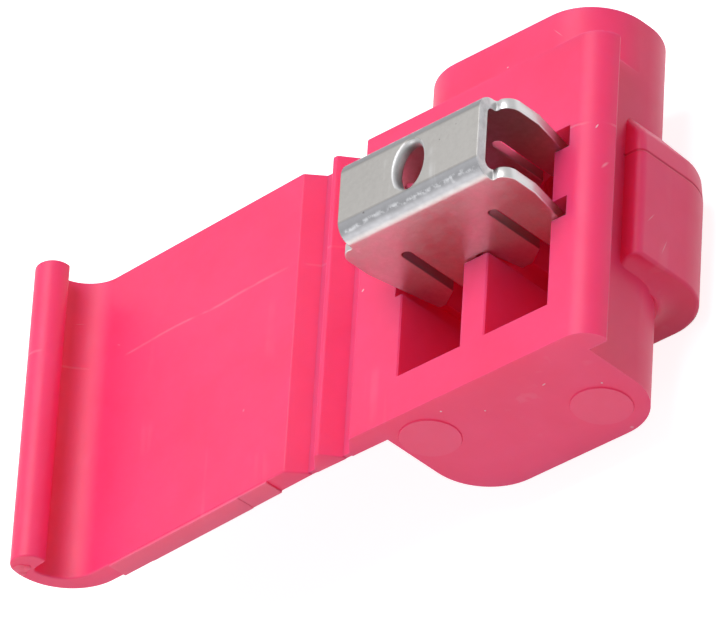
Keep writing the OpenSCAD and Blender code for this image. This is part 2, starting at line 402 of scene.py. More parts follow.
def scuff_group():
    """Fine hairline scratches that run one way, and the specks of dust between them."""
    found = bpy.data.node_groups.get("scuffs")
    if found:
        return found
    group, inside, outside = new_group(
        "scuffs",
        [("Vector", "NodeSocketVector", None), ("Scale", "NodeSocketFloat", 1.0)],
        [("Scratch", "NodeSocketFloat"), ("Speck", "NodeSocketFloat")])
    scaled = group.nodes.new("ShaderNodeVectorMath")
    scaled.operation = "SCALE"
    group.links.new(inside.outputs["Vector"], scaled.inputs[0])
    group.links.new(inside.outputs["Scale"], scaled.inputs["Scale"])
    lines = add_noise(group, scaled.outputs[0], 900.0, 2.0, 0.6, (1.0, 0.05, 1.0))
    patches = add_noise(group, scaled.outputs[0], 260.0, 2.0, 0.5)
    scratch = multiply(group, add_ramp(group, lines, 0.60, 0.72), add_ramp(group, patches, 0.50, 0.62))
    cells = group.nodes.new("ShaderNodeTexVoronoi")
    cells.inputs["Scale"].default_value = 420.0
    group.links.new(scaled.outputs[0], cells.inputs["Vector"])
    near = add_fade(group, cells.outputs["Distance"], 0.02, 0.055)
    few = add_ramp(group, add_noise(group, scaled.outputs[0], 330.0, 1.0), 0.56, 0.60)
    group.links.new(scratch, outside.inputs["Scratch"])
    group.links.new(multiply(group, near, few), outside.inputs["Speck"])
    return group


def new_material(name):
    """A material, its node tree, its shader and the object coordinates."""
    material = bpy.data.materials.new(name)
    material.use_nodes = True
    tree = material.node_tree
    place = tree.nodes.new("ShaderNodeTexCoord").outputs["Object"]
    return material, tree, tree.nodes["Principled BSDF"], place


def rgba(value):
    """A colour property with full alpha."""
    return (*value, 1.0)


def add_attribute(tree, name):
    """A number stored on the mesh."""
    node = tree.nodes.new("ShaderNodeAttribute")
    node.attribute_name = name
    return node.outputs["Fac"]


def spot_group():
    """An oval spot with a soft edge: 1 inside, 0 outside."""
    found = bpy.data.node_groups.get("spot")
    if found:
        return found
    group, inside, outside = new_group(
        "spot", [("Vector", "NodeSocketVector", None), ("Centre", "NodeSocketVector", None),
                 ("Turn", "NodeSocketVector", None), ("Size", "NodeSocketVector", None),
                 ("Softness", "NodeSocketFloat", 0.4)],
        [("Spot", "NodeSocketFloat")])
    mapping = group.nodes.new("ShaderNodeMapping")
    mapping.vector_type = "TEXTURE"
    for label, socket in (("Vector", "Vector"), ("Centre", "Location"), ("Turn", "Rotation"),
                          ("Size", "Scale")):
        group.links.new(inside.outputs[label], mapping.inputs[socket])
    far = group.nodes.new("ShaderNodeVectorMath")
    far.operation = "LENGTH"
    group.links.new(mapping.outputs["Vector"], far.inputs[0])
    fade = group.nodes.new("ShaderNodeMapRange")
    fade.interpolation_type = "SMOOTHSTEP"
    set_values(fade, {"To Min": 1.0, "To Max": 0.0})
    group.links.new(add_math(group, "SUBTRACT", 1.0, inside.outputs["Softness"]), fade.inputs["From Min"])
    group.links.new(far.outputs["Value"], fade.inputs["Value"])
    group.links.new(fade.outputs["Result"], outside.inputs["Spot"])
    return group


def add_spots(tree, vector, spots):
    """The strongest of several spots, each with its centre and size in millimetres, its turn in degrees
    and its softness."""
    total = None
    for centre, size, turn, softness in spots:
        node = tree.nodes.new("ShaderNodeGroup")
        node.node_tree = spot_group()
        set_values(node, {"Centre": (Vector(centre) - ROW_ORIGIN) * MM, "Size": Vector(size) * MM,
                          "Turn": [math.radians(a) for a in turn], "Softness": softness})
        tree.links.new(vector, node.inputs["Vector"])
        spot = node.outputs["Spot"]
        total = spot if total is None else add_math(tree, "MAXIMUM", total, spot)
    return total


# Dust and nicks: centre, size along X, Y and Z, turn, softness
SPECKS = (
    ((7.1, 16.56, -0.94), (0.06, 0.04, 0.2), (0, 0, 20), 0.6),
    ((12.95, 10.5, -0.4), (0.03, 0.14, 0.4), (0, 0, -20), 0.6),
    ((-2.41, 10.43, 0.0), (0.07, 0.06, 0.3), (0, 0, 0), 0.5),
    ((0.28, 7.49, 0.0), (0.10, 0.05, 0.2), (0, 0, 40), 0.5),
    ((9.09, 0.0, -2.03), (0.13, 0.2, 0.04), (0, -10, 0), 0.6),
    ((4.42, 0.0, -0.85), (0.06, 0.2, 0.06), (0, 0, 0), 0.5),
    ((11.05, 0.0, -3.43), (0.06, 0.2, 0.06), (0, 0, 0), 0.5),
    ((5.9, 0.0, -1.95), (0.05, 0.2, 0.05), (0, 0, 0), 0.5))
PITS = (
    ((4.53, 7.04, 4.55), (0.07, 0.05, 0.2), (0, 0, 0), 0.5),
    ((8.7, 8.9, 4.6), (0.04, 0.03, 0.1), (0, 0, 0), 0.5),
    ((9.6, 9.3, 4.6), (0.05, 0.02, 0.1), (0, 0, 0), 0.5))
SCRATCHES = (
    ((-2.85, 5.0, -0.3), (0.035, 0.75, 0.6), (0, 0, 10), 0.8),
    ((13.16, 6.6, -4.6), (0.2, 0.55, 0.035), (-20, 0, 0), 0.8),
    ((13.16, 7.6, -3.7), (0.2, 0.45, 0.03), (-35, 0, 0), 0.8),
    ((-16.9, 13.2, -0.3), (0.28, 0.03, 0.6), (0, 0, 12), 0.8),
    ((-14.9, 11.6, -0.5), (0.16, 0.03, 0.5), (0, 0, -30), 0.8),
    ((9.9, 17.1, -0.94), (0.5, 0.03, 0.2), (0, 0, -48), 0.8),
    ((13.2, 8.6, -0.6), (0.05, 0.28, 0.5), (0, 0, -20), 0.8))
PIN_SPOT = (1.34, 0.5, 1.34)

# Tints of the marks on the plastic and on the metal
SCUFF_PINK = (0.95, 0.45, 0.52, 1.0)
DUST_PINK = (0.95, 0.74, 0.78, 1.0)
SCRATCH_PINK = (0.95, 0.55, 0.60, 1.0)
PIN_PINK = (0.95, 0.30, 0.40, 1.0)
TAB_PINK = (0.80, 0.42, 0.44, 1.0)
PARTING_PINK = (0.98, 0.40, 0.48, 1.0)
# Painted shade in the witness line's groove on the belly
WITNESS_SHADE_RED = (0.50, 0.008, 0.035, 1.0)
METAL_SHADE = (0.86, 0.85, 0.84)
# Painted reflection: the darker bluish band round each bend
BEND_REFLECTION_GREY = (0.195, 0.2, 0.217, 1.0)
CREASE_GREY = (0.20, 0.19, 0.18, 1.0)
PIT_GREY = (0.12, 0.11, 0.11, 1.0)

# Where those marks lie, in metres from the row's origin
TAB_BEFORE_X, TAB_BEFORE_Y = -0.0110, -0.00872
PARTING_Y, PARTING_WANDER, PARTING_ABOVE_Z = 0.0021, 0.0011, 0.0062
WITNESS_BELOW_Z = 0.0057


def plastic_material(settings):
    """Satin moulded plastic, faintly clouded, with scratches, dust, the mould's parting line and painted
    shade along the witness line on the belly.
    """
    found = bpy.data.materials.get("moulded_plastic")
    if found:
        return found
    material, tree, shader, place = new_material("moulded_plastic")
    axes = tree.nodes.new("ShaderNodeSeparateXYZ")
    tree.links.new(place, axes.inputs[0])
    x, y, z = axes.outputs
    clouds = add_ramp(tree, add_noise(tree, place, 190.0, 4.0, 0.6), 0.35, 0.70)
    base = add_mix(tree, clouds, rgba(settings.plastic), rgba(settings.plastic_deep))
    scratch, speck = add_scuffs(tree, place, 1.0)
    base = add_mark(tree, base, scratch, 0.07, SCUFF_PINK)
    nicks = add_math(tree, "MAXIMUM", multiply(tree, speck, 0.5), add_spots(tree, place, SPECKS))
    base = add_mark(tree, base, nicks, 0.75, DUST_PINK)
    lines = add_spots(tree, place, SCRATCHES)
    base = add_mark(tree, base, lines, 0.35, SCRATCH_PINK)
    # Paler pin marks, and the paler gate tab where the sprue was cut away
    pins = add_spots(tree, place, [((px, 0.0, pz), PIN_SPOT, (0, 0, 0), 0.04) for px, pz in PIN_MARKS])
    base = add_mark(tree, base, pins, 0.10, PIN_PINK)
    tab = add_math(tree, "LESS_THAN", y, TAB_BEFORE_Y)
    tab = multiply(tree, tab, add_math(tree, "LESS_THAN", x, TAB_BEFORE_X))
    base = add_mark(tree, base, tab, 0.22, TAB_PINK)
    # Parting line across the plate, the lid and the hook, broken here and there
    wander = add_math(tree, "SUBTRACT", add_noise(tree, place, 150.0, 1.0), 0.5)
    wander = multiply(tree, wander, PARTING_WANDER)
    away = add_math(tree, "SUBTRACT", y, add_math(tree, "ADD", wander, PARTING_Y))
    line = add_fade(tree, add_math(tree, "ABSOLUTE", away), 0.00002, 0.00009)
    line = multiply(tree, line, add_ramp(tree, add_noise(tree, place, 620.0, 2.0), 0.36, 0.60))
    line = multiply(tree, line, add_math(tree, "GREATER_THAN", z, PARTING_ABOVE_Z))
    base = add_mark(tree, base, line, 0.22, PARTING_PINK)
    # Witness line across the belly, where the parts of the mould met: a groove in the bump, darkened with
    # painted shade
    seam_shade = add_math(tree, "ABSOLUTE", add_math(tree, "SUBTRACT", y, PARTING_Y))
    seam_shade = add_fade(tree, seam_shade, 0.00003, 0.00009)
    seam_shade = multiply(tree, seam_shade, add_math(tree, "LESS_THAN", z, WITNESS_BELOW_Z))
    base = add_mark(tree, base, seam_shade, 0.5, WITNESS_SHADE_RED)
    haze = add_noise(tree, place, 700.0, 3.0, 0.6)
    rough = add_weighted(tree, add_math(tree, "MULTIPLY_ADD", haze, 0.16, 0.36), ((tab, 0.2),))
    set_values(shader, {"IOR": 1.47, "Subsurface Weight": 0.5, "Subsurface Radius": (1.0, 0.12, 0.18),
                        "Subsurface Scale": 0.0022})
    # Orange peel, waves and marks, each with its height in metres
    peel = add_noise(tree, place, 2600.0, 2.0, 0.5)
    waves = add_noise(tree, place, 320.0, 2.0, 0.5)
    height = add_weighted(tree, multiply(tree, peel, 0.000004), (
        (waves, 0.00003), (scratch, -0.000006), (nicks, 0.00003), (lines, -0.00001), (line, 0.00002),
        (seam_shade, -0.00004)))
    add_surface(tree, shader, base, rough, height, 0.8)
    return material


def metal_material(settings):
    """Matte tin-plated sheet with rolled grain, scratches and bright sheared edges; its bends carry a painted
    reflection band and a painted highlight streak, and its bridge a painted shade.
    """
    found = bpy.data.materials.get("plated_sheet")
    if found:
        return found
    material, tree, shader, place = new_material("plated_sheet")
    grain = add_noise(tree, place, 1500.0, 3.0, 0.6, (0.06, 1.0, 1.0))
    blotch = add_noise(tree, place, 420.0, 4.0, 0.6)
    fine = add_noise(tree, place, 3200.0, 3.0, 0.7)
    shade = add_ramp(tree, add_weighted(tree, multiply(tree, fine, 0.5), ((blotch, 0.5),)), 0.34, 0.66)
    dark = [less * part for less, part in zip(METAL_SHADE, settings.metal)]
    base = add_mix(tree, shade, rgba(dark), rgba(settings.metal))
    turned = add_attribute(tree, "turned")
    # Painted shade: the bridge between the bends gets a darker copy of the metal
    shaded_flat = add_mix(tree, shade, rgba([0.9 * part for part in settings.shaded_metal_flat]), rgba(settings.shaded_metal_flat))
    base = add_mix(tree, add_ramp(tree, turned, 0.80, 0.98), base, shaded_flat)
    # Bluish band round each bend, a painted reflection on metal that is also rougher there, with a broken
    # bright line that is a painted highlight and a thin dark one where the flat starts
    band = multiply(tree, add_ramp(tree, turned, 0.10, 0.30), add_fade(tree, turned, 0.88, 0.96))
    base = add_mark(tree, base, band, 0.85, BEND_REFLECTION_GREY)
    wander = add_math(tree, "MULTIPLY_ADD", add_noise(tree, place, 700.0, 3.0), 0.35, 0.40)
    middle = add_math(tree, "ABSOLUTE", add_math(tree, "SUBTRACT", turned, wander))
    # Painted highlight along the middle of each bend
    highlight_streak = multiply(tree, add_fade(tree, middle, 0.0, 0.11), add_ramp(tree, fine, 0.46, 0.62))
    base = add_mark(tree, base, highlight_streak, 0.38, rgba(settings.metal_scuff_and_highlight))
    crease = add_math(tree, "ABSOLUTE", add_math(tree, "SUBTRACT", turned, 0.93))
    crease = add_fade(tree, crease, 0.02, 0.06)
    base = add_mark(tree, base, crease, 0.5, CREASE_GREY)
    scratch, _ = add_scuffs(tree, place, 1.8)
    base = add_mark(tree, base, scratch, 0.35, rgba(settings.metal_scuff_and_highlight))
    sheared = add_attribute(tree, "sheared")
    patchy = add_math(tree, "MULTIPLY_ADD", shade, 0.45, 0.50)
    base = add_mark(tree, base, sheared, patchy, rgba(settings.metal_sheared))
    pits = add_spots(tree, place, PITS)
    base = add_mark(tree, base, pits, 0.8, PIT_GREY)
    shader.inputs["Metallic"].default_value = 1.0
    rough = add_math(tree, "MULTIPLY_ADD", add_ramp(tree, turned, 0.0, 0.8), 0.20, 0.38)
    rough = add_weighted(tree, rough, ((shade, -0.08), (band, 0.06)))
    # Grain and marks, each with its height in metres
    height = add_weighted(tree, multiply(tree, grain, 0.000008), (
        (blotch, 0.00003), (fine, 0.000008), (highlight_streak, 0.000003), (crease, -0.00001), (pits, -0.00003)))
    add_surface(tree, shader, base, rough, height, 0.6)
    return material


# Outlines, in millimetres

# Walls and floor of the housing, underside of the top plate, and its nose with the round latch ledge
HOUSING_LEFT, HOUSING_RIGHT = 1.265, 12.215
FLOOR_Z, PLATE_Z = -6.85, -1.02
NOSE_X, LEDGE = 13.35, 1.30
# Hinge grooves: depth, half the width of the floor, and the two fold lines
GROOVE, HALF_FLOOR = 0.80, 0.18
LINE_A, LINE_B = -0.88, -2.86
# Hinge webs: reach past the groove's floor, start of the bend from there, distance from the ends, steps
WEB_LAP, WEB_HOLD, WEB_BACK, WEB_STEPS = 0.02, 0.03, 0.05, 8
# Sleeve, channels, pockets and slots. Cutters keep a hair apart and reach this far above the plate
SLEEVE_TOP, SLEEVE_LAP = -0.94, 1.0
CHANNELS, CHANNEL_R, CHANNEL_Z = (4.315, 9.165), 1.75, -3.90
POCKET_Y = (2.15, 10.905)
SLOT_X, SLOT_FLOOR = (2.19, 11.77), -6.26
NEAR_SLOT_Y, FAR_SLOT_Y = (6.305, 7.295), (9.815, 10.905)
SADDLE_Y, SADDLE_FLOOR = (6.4, 10.8), -0.35
HAIR, ABOVE = 0.01, 0.5
# Middles of the two pin marks on the near end
PIN_MARKS = ((2.78, -2.0), (9.96, -4.66))
# Belly: its ends, its shelf and where the cove starts below the floor
BELLY_Y, SHELF_Z, COVE_DROP = (5.50, 11.90), -2.95, 0.8
# Its softened edge, the witness line and how far that lies from the far end, the draft behind it, and
# how deep the ends sink in
EDGE_SOFT, WITNESS, SPLIT_BACK, DRAFTED, BITE = 0.16, 0.05, 1.15, 0.14, 0.1
# Hook of the lid: its inner face, the bead's reach and top, and the height at which the bead starts
HOOK_IN = 14.33
BEAD_IN, BEAD_TOP = 0.94, 2.96
CATCH_Z = 2.70
# Gate tab: where each part starts and ends along the lid, and its share of the tab's height
GATE_TAB = ((-1.95, -3.66, 0.75), (-3.66, -9.78, 1.0), (-9.78, -11.55, 0.8))
# Torn end of the bead: where each lump lies on the lid's near edge, and its size
TORN_LUMPS = (((-14.62, 3.02), (0.38, 0.09, 0.34)), ((-14.35, 2.92), (0.20, 0.12, 0.16)),
              ((-14.80, 2.80), (0.18, 0.11, 0.22)))
# Contact: middle and top, length over both legs, steps of its curves, and its oval hole
CONTACT_X, CONTACT_Y, CONTACT_Z = 6.98, 8.42, 4.60
CONTACT_LEN = 4.05
BEND_STEPS, FLARE_STEPS = 12, 6
HOLE_R, HOLE_FLARE, HOLE_DEPTH, HOLE_STRETCH, HOLE_REACH = 0.78, 0.17, 0.60, 1.45, 1.25
# Softened edges of the rib, the gate tab and the contact
RIB_EDGE, TAB_EDGE, CONTACT_EDGE = 0.05, 0.03, 0.06


def housing_outline(corner):
    """Top plate, latch ledge and side walls in one outline."""
    left, right = HOUSING_LEFT, HOUSING_RIGHT
    foot = LINE_A + HALF_FLOOR
    low = FLOOR_Z + corner
    return (
        [(foot, PLATE_Z), (foot, -GROOVE), (-0.05, -0.055), (0.05, 0.0)]
        + arc(NOSE_X - LEDGE, -LEDGE, LEDGE, 90, 8, 14)
        + [(NOSE_X - 0.15, -LEDGE), (right, -LEDGE)]
        + arc(right - corner, low, corner, 0, -90, 16)
        + arc(left + corner, low, corner, -90, -180, 16)
        + [(left, PLATE_Z)])


def sleeve_outline(corner):
    """Round-cornered sleeve at the wires' entry end."""
    left, right = HOUSING_LEFT, HOUSING_RIGHT
    return (arc(right - corner, SLEEVE_TOP - corner, corner, 90, 0, 16)
            + arc(right - corner, FLOOR_Z + corner, corner, 0, -90, 16)
            + arc(left + corner, FLOOR_Z + corner, corner, -90, -180, 16)
            + arc(left + corner, SLEEVE_TOP - corner, corner, 180, 90, 16))


def pocket_cutter(x, rim):
    """A pocket with a flared rim, a hair narrower than the bore under it, so that no walls coincide."""
    half = CHANNEL_R - HAIR
    tool = block("pocket", (x - half, POCKET_Y[0], CHANNEL_Z - 3 * HAIR), (x + half, POCKET_Y[1], -rim))
    edit(tool)
    pick(tool, "faces", faces_up)
    push(z=2 * rim)
    span = POCKET_Y[1] - POCKET_Y[0]
    bpy.ops.transform.resize(value=((half + 2 * rim) / half, (span + 4 * rim) / span, 1.0))
    push(z=ABOVE)
    bpy.ops.object.mode_set(mode="OBJECT")
    return tool


def bore_cutter(x, y_end):
    """A blind bore with a countersink at the entry end."""
    deselect()
    start, past = POCKET_Y[0] + HAIR, 0.2
    bpy.ops.mesh.primitive_cylinder_add(vertices=64, radius=CHANNEL_R, depth=y_end - start + past,
                                        location=(x, (start + y_end + past) / 2, CHANNEL_Z),
                                        rotation=(math.pi / 2, 0, 0))
    tool = bpy.context.active_object
    wide, narrow, deep = CHANNEL_R + 0.41, CHANNEL_R - 0.02, 0.75
    bpy.ops.mesh.primitive_cone_add(vertices=64, radius1=wide, radius2=narrow, depth=deep,
                                    location=(x, y_end + (past - deep) / 2, CHANNEL_Z),
                                    rotation=(math.pi / 2, 0, 0))
    combine(tool, bpy.context.active_object, "UNION")
    return tool


def belly_outline(side, drop, corner, shelf_r):
    """The belly's outline, level with its shelf."""
    left, right = HOUSING_LEFT - side, HOUSING_RIGHT + side
    low = FLOOR_Z - drop + corner
    return (arc(right - shelf_r, SHELF_Z - shelf_r, shelf_r, 90, 0, 5)
            + arc(right - corner, low, corner, 0, -90, 14)
            + arc(left + corner, low, corner, -90, -180, 14)
            + arc(left + shelf_r, SHELF_Z - shelf_r, shelf_r, 180, 90, 5))


def belly_solid(sizes):
    """The thicker band round the underside, with its cove, its ramp and the witness line between them."""
    corner, cove = sizes.corner / MM, sizes.belly_cove / MM
    side, drop = sizes.belly_side / MM, sizes.belly_drop / MM
    y0, y1 = BELLY_Y
    split = y1 - SPLIT_BACK
    belly = trace("belly", belly_outline(side, drop, corner, sizes.shelf_radius / MM),
                  lambda p: (p[0], split, p[1]))
    middle = (HOUSING_LEFT + HOUSING_RIGHT) / 2
    half = (HOUSING_RIGHT - HOUSING_LEFT) / 2
    deep = SHELF_Z - FLOOR_Z
    now = [side, drop]

    def step(y, to_side, to_drop):
        """Extrudes the ring along Y and draws it in to a new side and drop."""
        push(y=y)
        bpy.ops.transform.resize(value=((half + to_side) / (half + now[0]), 1.0,
                                        (deep + to_drop) / (deep + now[1])),
                                 center_override=(middle, 0.0, SHELF_Z))
        now[0], now[1] = to_side, to_drop

    # Witness line, the drafted part behind it and the ramp at the far end
    step(WITNESS, side - WITNESS, drop - WITNESS)
    step(WITNESS, side - 0.2 * WITNESS, drop - 0.2 * WITNESS)
    step(SPLIT_BACK - 2 * WITNESS - EDGE_SOFT, side - 0.6 * DRAFTED, drop - 0.6 * DRAFTED)
    step(EDGE_SOFT, side - DRAFTED, drop - DRAFTED)
    step(sizes.belly_ramp / MM, -BITE, -BITE)
    # The band itself, drawn back from the same face
    pick(belly, "faces",
         lambda face: len(face.verts) > 6 and abs(face.calc_center_median().y - split) < 0.01)
    now[0], now[1] = side, drop
    push(y=y0 - split + EDGE_SOFT)
    # Softened outer edge of the near end
    for a, b in quarter(4):
        step(-EDGE_SOFT * (math.sin(b) - math.sin(a)), side - EDGE_SOFT * (1 - math.cos(b)),
             drop - EDGE_SOFT * (1 - math.cos(b)))
    # Cove at the near end
    step(0.0, side - EDGE_SOFT - 0.02, COVE_DROP)
    reach = side - EDGE_SOFT - 0.02 + BITE
    for b, a in reversed(quarter(8)):
        step(-cove * (math.sin(a) - math.sin(b)), reach * (1 - math.cos(b)) - BITE,
             (COVE_DROP + BITE) * (1 - math.cos(b)) - BITE)
    face_out()
    return belly


def mark_sheet(piece, bend):
    """Marks the contact's sheared edges and how far round its bends each point lies, for the material."""
    mesh = piece.data
    sheared = mesh.attributes.new("sheared", "FLOAT", "FACE")
    turned = mesh.attributes.new("turned", "FLOAT", "POINT")
    for face in mesh.polygons:
        spot, normal = face.center, face.normal
        if spot.z > CONTACT_Z - bend:
            near_hole = math.hypot(spot.x - CONTACT_X, spot.y - CONTACT_Y) < HOLE_REACH
            across = abs(normal.x) > 0.5 or near_hole and abs(normal.z) < 0.98
        else:
            across = abs(normal.y) < 0.75
        sheared.data[face.index].value = 1.0 if across else 0.0
    for vert in mesh.vertices:
        away = CONTACT_LEN / 2 - bend - abs(vert.co.y - CONTACT_Y)
        up = vert.co.z - (CONTACT_Z - bend)
        if up <= 0:
            share = 0.0
        elif away >= 0:
            share = 1.0
        else:
            share = math.degrees(math.atan2(up, -away)) / 90.0
        turned.data[vert.index].value = share


# Pieces

class CONNECTOR_OT_housing(bpy.types.Operator):
    """Builds the moulded housing with its channels, pockets, slots and belly"""
    bl_idname = "connector.housing"
    bl_label = "Housing"

    def execute(self, context):
        sizes = context.scene.connector_housing
        corner = sizes.corner / MM
        plate_len = sizes.plate_len / MM
        body_len = sizes.body_len / MM
        housing = prism("housing_shell", housing_outline(corner), 0.0, plate_len)
        combine(housing, prism("sleeve", sleeve_outline(corner), plate_len - SLEEVE_LAP, body_len), "UNION")
        clean(housing)
        combine(housing, belly_solid(sizes), "UNION")
        clean(housing)
        round_edges(housing, sizes.edge / MM,
                    where=lambda middle, edge: edge.is_convex and middle.x > LINE_A + HALF_FLOOR + 0.001)
        rim = sizes.rim / MM
        for x in CHANNELS:
            combine(housing, pocket_cutter(x, rim), "DIFFERENCE")
            combine(housing, bore_cutter(x, body_len), "DIFFERENCE")
        for name, across, along, floor in (("near_slot", SLOT_X, NEAR_SLOT_Y, SLOT_FLOOR),
                                           ("far_slot", SLOT_X, FAR_SLOT_Y, SLOT_FLOOR),
                                           ("saddle", CHANNELS, SADDLE_Y, SADDLE_FLOOR)):
            tool = block(name, (across[0], along[0], floor), (across[1], along[1], ABOVE))
            combine(housing, tool, "DIFFERENCE")
        rise, radius = sizes.disc / MM, sizes.disc_radius / MM
        for x, z in PIN_MARKS:
            deselect()
            bpy.ops.mesh.primitive_cone_add(vertices=96, radius1=radius + 0.5 * rise,
                                            radius2=radius - 0.5 * rise, depth=2 * rise,
                                            location=(x, 0.0, z), rotation=(math.pi / 2, 0, 0))
            combine(housing, bpy.context.active_object, "UNION")
        clean(housing)
        finish_piece(housing, "housing", plastic_material(context.scene.connector_finish))
        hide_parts("body")
        return {"FINISHED"}


class CONNECTOR_OT_hinges(bpy.types.Operator):
    """Builds the rib between the two grooves and the thin webs on either side of it"""
    bl_idname = "connector.hinges"
    bl_label = "Hinges"

    def execute(self, context):
        sizes = context.scene.connector_housing
        plate_len = sizes.plate_len / MM
        plastic = plastic_material(context.scene.connector_finish)
        inner, outer = LINE_A - HALF_FLOOR, LINE_B + HALF_FLOOR
        middle = (LINE_A + LINE_B) / 2
        crest = [(middle + x, z) for x, z in ((0.16, -0.05), (0.09, 0.0), (-0.09, 0.0), (-0.16, -0.05))]
        rib = prism("fold_rib", [(outer, PLATE_Z), (inner, PLATE_Z), (inner, -GROOVE)] + crest
                    + [(outer, -GROOVE)], 0.0, plate_len)
        round_edges(rib, RIB_EDGE, 2,
                    where=lambda spot, edge: abs(spot.y - plate_len / 2) > plate_len / 2 - 0.01)
        finish_piece(rib, "strip", plastic)
        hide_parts("hinge_rib")
        for name, line, first, second in (("inner_web", LINE_A, "housing", "strip"),
                                          ("outer_web", LINE_B, "strip", "lid")):
            right, left = line + HALF_FLOOR + WEB_LAP, line - HALF_FLOOR - WEB_LAP
            top = [(right + (left - right) * i / WEB_STEPS, -GROOVE) for i in range(WEB_STEPS + 1)]
            bottom = [(x, PLATE_Z) for x, _ in reversed(top)]
            web = prism(name, top + bottom, WEB_BACK, plate_len - WEB_BACK)
            finish_piece(web, None, plastic)
            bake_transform(web)
        return {"FINISHED"}


class CONNECTOR_OT_lid(bpy.types.Operator):
    """Builds the lid with its rolled hook and bead"""
    bl_idname = "connector.lid"
    bl_label = "Lid"

    def execute(self, context):
        sizes = context.scene.connector_lid
        housing = context.scene.connector_housing
        plate_len = housing.plate_len / MM
        hook_r, hook_wall = sizes.hook_radius / MM, sizes.hook_wall / MM
        bead_r = sizes.bead_radius / MM
        top, under = GROOVE, GROOVE + PLATE_Z
        inner = (-HOOK_IN + hook_r, top + hook_r)
        outer_r = hook_r - PLATE_Z
        outer = (outer_r - HOOK_IN - hook_wall, inner[1])
        bead = (-HOOK_IN - bead_r + BEAD_IN, top + BEAD_TOP - bead_r)
        catch = math.degrees(math.asin((CATCH_Z - bead[1]) / bead_r))
        outline = (
            [(-HALF_FLOOR, under), (-HALF_FLOOR, 0.0), (-0.83, top - 0.055), (-0.93, top)]
            + arc(inner[0], inner[1], hook_r, -90, -176, 16)
            + [(-HOOK_IN + 0.08, inner[1] + 0.02)]
            + arc(bead[0], bead[1], bead_r, catch, 172, 28)
            + [(-HOOK_IN - hook_wall, bead[1] - 0.12)]
            + arc(outer[0], outer[1], outer_r, 180, 270, 22))
        sag = sizes.sag

        def hang(p, y=0.0):
            """A point of the level lid, turned down by the sag."""
            return (LINE_B + p[0] * math.cos(sag) - p[1] * math.sin(sag), y,
                    -GROOVE + p[0] * math.sin(sag) + p[1] * math.cos(sag))

        lid = trace("lid_flap", outline, hang)
        push(y=plate_len)
        face_out()
        round_edges(lid, housing.edge / MM,
                    where=lambda middle, edge: edge.is_convex and middle.x < LINE_B - HALF_FLOOR - 0.001)
        # Gate tab along the near edge, in three parts that stand out by different amounts
        tab = sizes.tab_out / MM
        low, high = under + 0.02, top - 0.03
        for start, end, share in GATE_TAB:
            out = share * tab
            part = trace("gate_tab", [(start, low), (start, high), (end, high), (end, low)],
                         lambda p, out=out: hang(p, -out))
            push(y=out + 0.3)
            face_out()
            round_edges(part, TAB_EDGE, 2)
            combine(lid, part, "UNION")
        # Torn end of the bead
        for place, spread in TORN_LUMPS:
            deselect()
            spot = hang(place, 0.02)
            bpy.ops.mesh.primitive_uv_sphere_add(segments=16, ring_count=10, radius=1.0, location=spot)
            bpy.ops.transform.resize(value=spread, center_override=spot)
            bpy.ops.object.transform_apply(location=True, rotation=True, scale=True)
            combine(lid, bpy.context.active_object, "UNION")
        finish_piece(lid, "lid", plastic_material(context.scene.connector_finish))
        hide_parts("lid")
        return {"FINISHED"}


